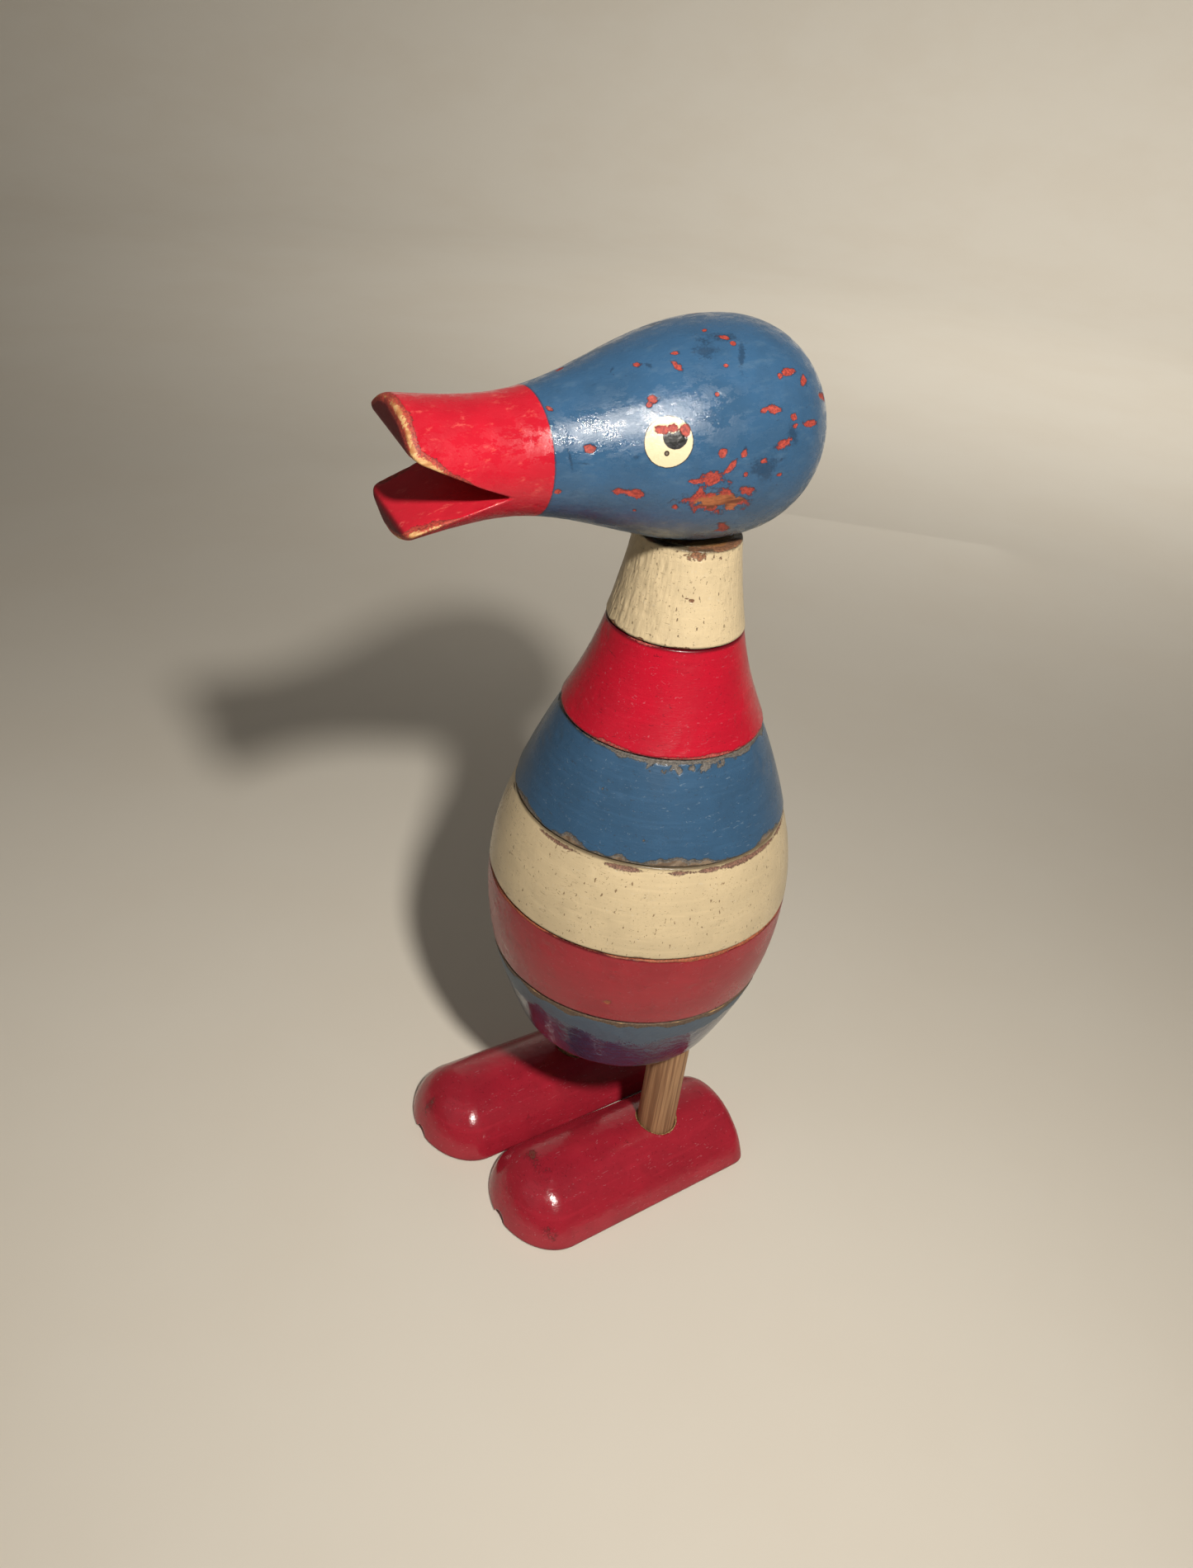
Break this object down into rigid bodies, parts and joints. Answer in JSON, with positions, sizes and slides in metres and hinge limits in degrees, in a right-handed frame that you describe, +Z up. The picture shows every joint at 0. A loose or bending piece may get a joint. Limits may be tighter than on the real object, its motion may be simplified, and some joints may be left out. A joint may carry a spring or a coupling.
{
  "type": "stacking duck toy",
  "caption": "Turned wooden stacking duck: a head with an open bill and painted rings that lift off a spindle, on a bowl with dowel legs and half-round feet.",
  "frame": {"origin": "on the floor, straight below the middle of the spindle", "axes": "+X forward, square to the line through the two legs, +Y the duck's left, +Z up along the spindle"},
  "size_m": [0.1196, 0.0888, 0.2535],
  "materials": {
    "head_enamel": "gloss blue enamel over a red undercoat, with a red bill and a cream eye, chipped",
    "blue_enamel": "gloss blue enamel, worn to wood on the rims",
    "red_enamel": "gloss red enamel, worn rims",
    "cream_enamel": "brushed cream enamel, yellowed and specked",
    "foot_enamel": "gloss deep red enamel",
    "bare_pine": "unpainted softwood dowel"
  },
  "bodies": {
    "base": {"base_bowl": "blue_enamel", "spindle": "bare_pine", "left_leg": "bare_pine", "right_leg": "bare_pine", "left_foot": "foot_enamel", "right_foot": "foot_enamel"},
    "lower_red": {"lower_red_ring": "red_enamel"},
    "cream": {"cream_ring": "cream_enamel"},
    "blue": {"blue_ring": "blue_enamel"},
    "upper_red": {"upper_red_ring": "red_enamel"},
    "neck": {"neck_ring": "cream_enamel"},
    "head": {"head": "head_enamel"}
  },
  "joints": [
    {"name": "lower_red_lift", "type": "slide", "parent": "base", "child": "lower_red", "axis": [0, 0, 1], "range_m": [0, 0.145]},
    {"name": "cream_lift", "type": "slide", "parent": "lower_red", "child": "cream", "axis": [0, 0, 1], "range_m": [0, 0.12]},
    {"name": "blue_lift", "type": "slide", "parent": "cream", "child": "blue", "axis": [0, 0, 1], "range_m": [0, 0.094]},
    {"name": "upper_red_lift", "type": "slide", "parent": "blue", "child": "upper_red", "axis": [0, 0, 1], "range_m": [0, 0.069]},
    {"name": "neck_lift", "type": "slide", "parent": "upper_red", "child": "neck", "axis": [0, 0, 1], "range_m": [0, 0.043]},
    {"name": "head_swivel", "type": "hinge", "parent": "neck", "child": "head", "pos_m": [0, 0, 0.2], "axis": [0, 0, 1], "continuous": true}
  ]
}
